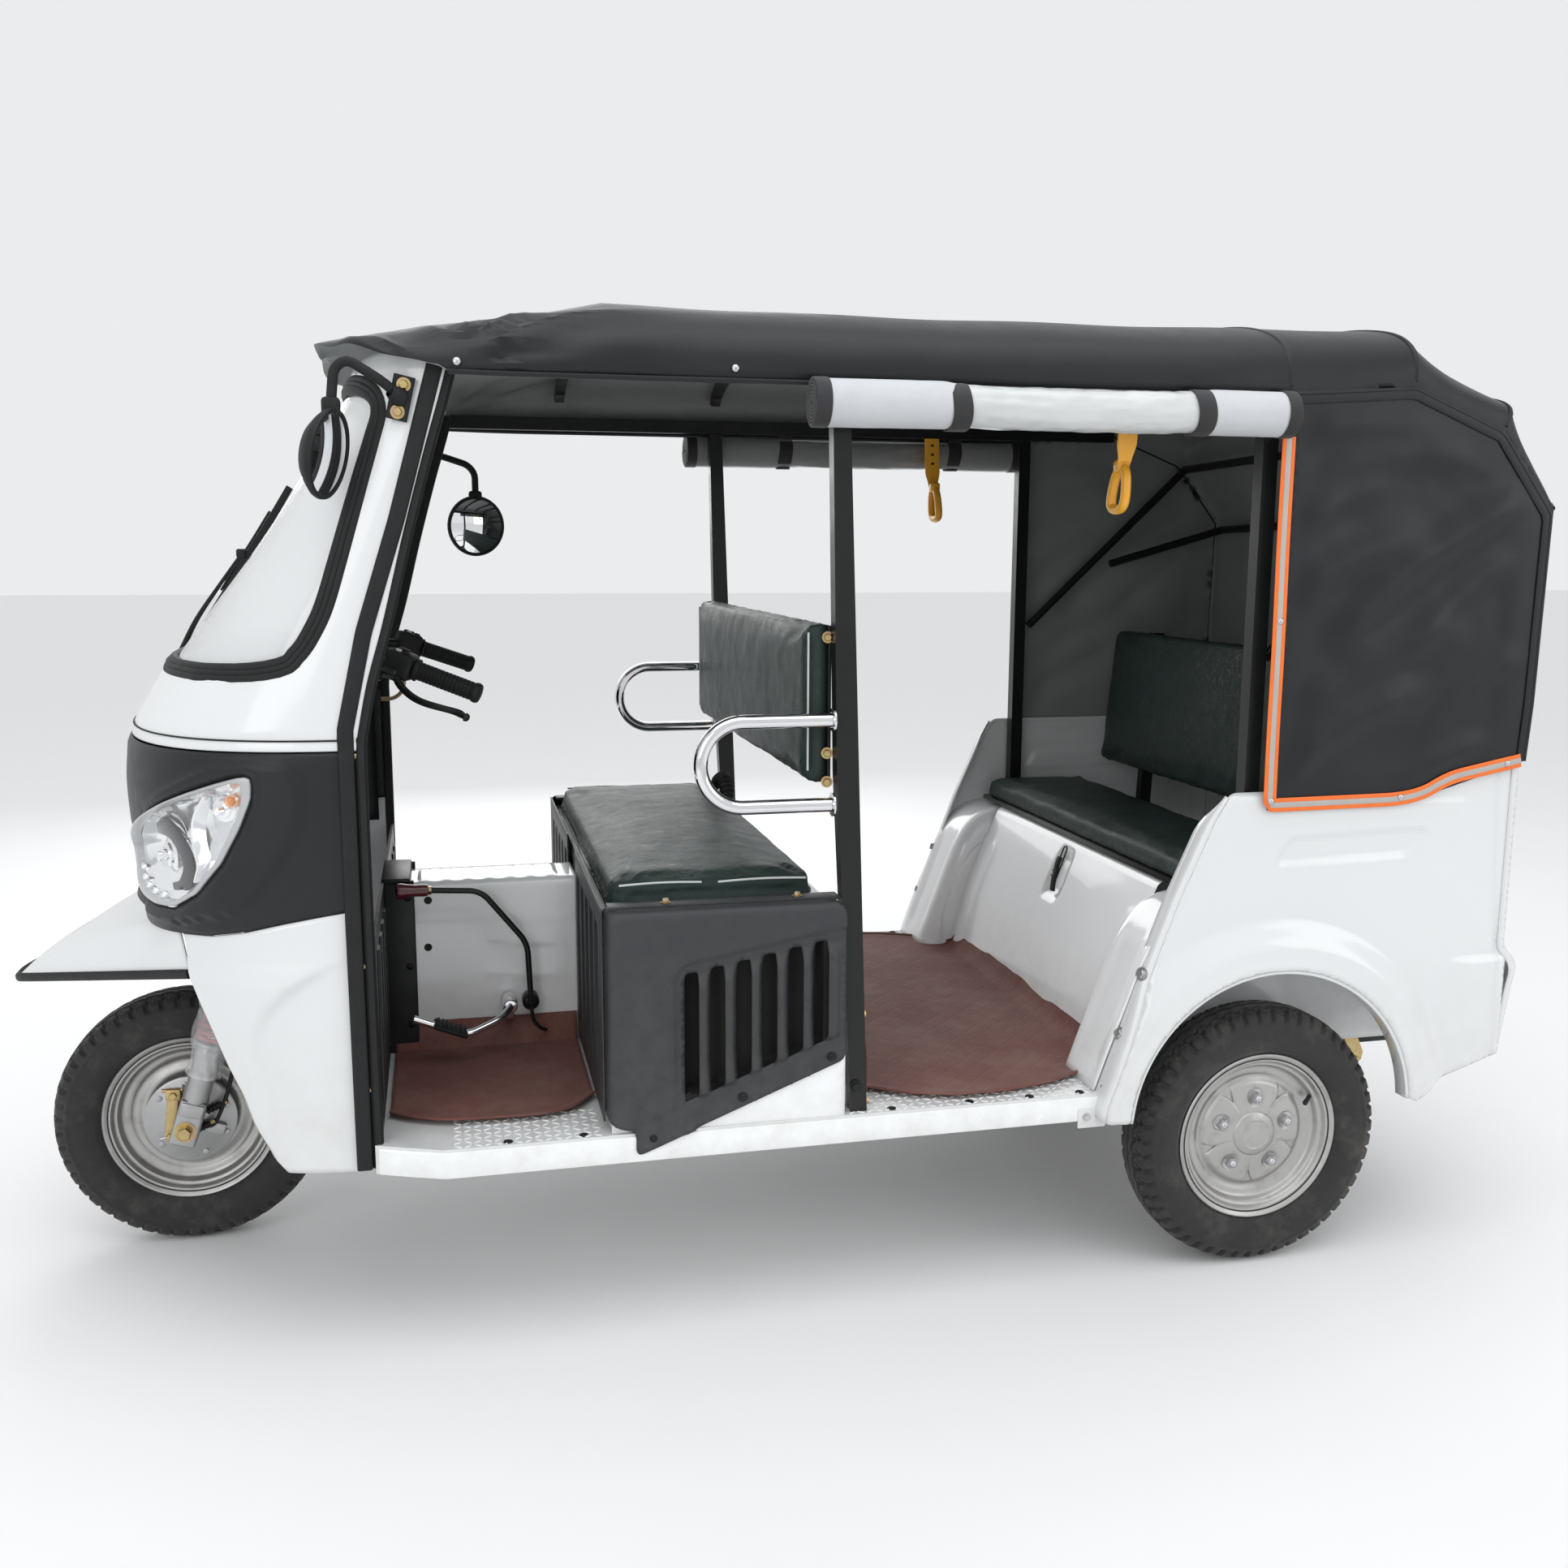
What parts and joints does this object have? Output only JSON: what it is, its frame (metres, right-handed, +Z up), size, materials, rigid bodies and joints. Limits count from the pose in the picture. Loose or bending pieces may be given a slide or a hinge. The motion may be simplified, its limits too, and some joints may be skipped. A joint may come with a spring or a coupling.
{
  "type": "auto rickshaw",
  "caption": "Three-wheeled motor rickshaw with a raked nose, open sides, driver bench, rear passenger bench and a cloth canopy over a tube frame.",
  "frame": {"origin": "on the ground, midway between nose tip and tail and on the centre plane", "axes": "+X towards the nose, +Y to the left of someone seated facing forward, +Z up"},
  "size_m": [2.895, 1.3558, 1.82],
  "materials": {
    "white_paint": "glossy cool white paint",
    "black_steel": "black enamelled steel",
    "charcoal_panel": "satin charcoal plastic",
    "grey_cover": "dark grey textured plastic",
    "lamp_clear": "clear lens over a bright reflector",
    "lamp_red": "red lens",
    "screen_glass": "clear laminated glass",
    "seat_vinyl": "dark green-black vinyl under thin clear film",
    "mat_brown": "dusty red-brown quilted vinyl mat",
    "chrome": "polished chrome plate",
    "zinc": "plain plated steel",
    "wheel_silver": "silver painted steel",
    "tyre_rubber": "black tyre rubber",
    "black_rubber": "black rubber",
    "canopy_vinyl": "charcoal coated canopy cloth",
    "curtain_film": "rolled white cloth and clear film",
    "grab_yellow": "yellow-orange plastic",
    "cast_metal": "cast engine metal"
  },
  "bodies": {
    "chassis": {"frame_rails": "black_steel", "cross_members": "black_steel", "steering_head": "black_steel", "floor_pan": "white_paint", "floor_mats": "mat_brown", "centre_tunnel": "white_paint", "front_bulkhead": "charcoal_panel", "front_apron": "white_paint", "front_beak": "white_paint", "headlight_panel": "charcoal_panel", "headlights": "lamp_clear", "windshield_cowl": "white_paint", "windshield_glass": "screen_glass", "wiper": "black_rubber", "mirrors": "black_steel", "engine": "cast_metal", "engine_box": "white_paint", "side_covers": "grey_cover", "driver_seat": "seat_vinyl", "driver_backrest": "seat_vinyl", "armrests": "chrome", "gear_lever": "black_steel", "foot_lever": "chrome", "cab_posts": "black_steel", "roof_rails": "black_steel", "roof_bows": "black_steel", "canopy_roof": "canopy_vinyl", "canopy_back": "canopy_vinyl", "canopy_sides": "canopy_vinyl", "curtain_rolls": "curtain_film", "grab_handles": "grab_yellow", "rear_sides": "white_paint", "rear_panel": "white_paint", "tail_lights": "lamp_red", "bench_base": "white_paint", "wheel_boxes": "white_paint", "bench_backrest": "seat_vinyl", "backrest_stand": "black_steel", "rear_axle": "black_steel", "leaf_springs": "zinc"},
    "steering": {"steering_fork": "zinc", "handlebar": "black_steel"},
    "front_wheel": {"front_tyre": "tyre_rubber", "front_rim": "wheel_silver"},
    "rear_wheel_left": {"rear_left_tyre": "tyre_rubber", "rear_left_rim": "wheel_silver"},
    "rear_wheel_right": {"rear_right_tyre": "tyre_rubber", "rear_right_rim": "wheel_silver"},
    "bench_lid": {"bench_seat": "seat_vinyl"}
  },
  "joints": [
    {"name": "steering_turn", "type": "hinge", "parent": "chassis", "child": "steering", "pos_m": [0.97799, 0, 0.67647], "axis": [-0.309, 0, 0.9511], "range_deg": [-40, 40]},
    {"name": "front_wheel_spin", "type": "hinge", "parent": "steering", "child": "front_wheel", "pos_m": [1.1455, 0, 0.258], "axis": [0, 1, 0], "continuous": true},
    {"name": "rear_left_wheel_spin", "type": "hinge", "parent": "chassis", "child": "rear_wheel_left", "pos_m": [-0.8975, 0.552, 0.258], "axis": [0, 1, 0], "continuous": true},
    {"name": "rear_right_wheel_spin", "type": "hinge", "parent": "chassis", "child": "rear_wheel_right", "pos_m": [-0.8975, -0.552, 0.258], "axis": [0, 1, 0], "continuous": true},
    {"name": "bench_lid_open", "type": "hinge", "parent": "chassis", "child": "bench_lid", "pos_m": [-1.0435, 0, 0.742], "axis": [0, -1, 0], "range_deg": [0, 50]}
  ]
}
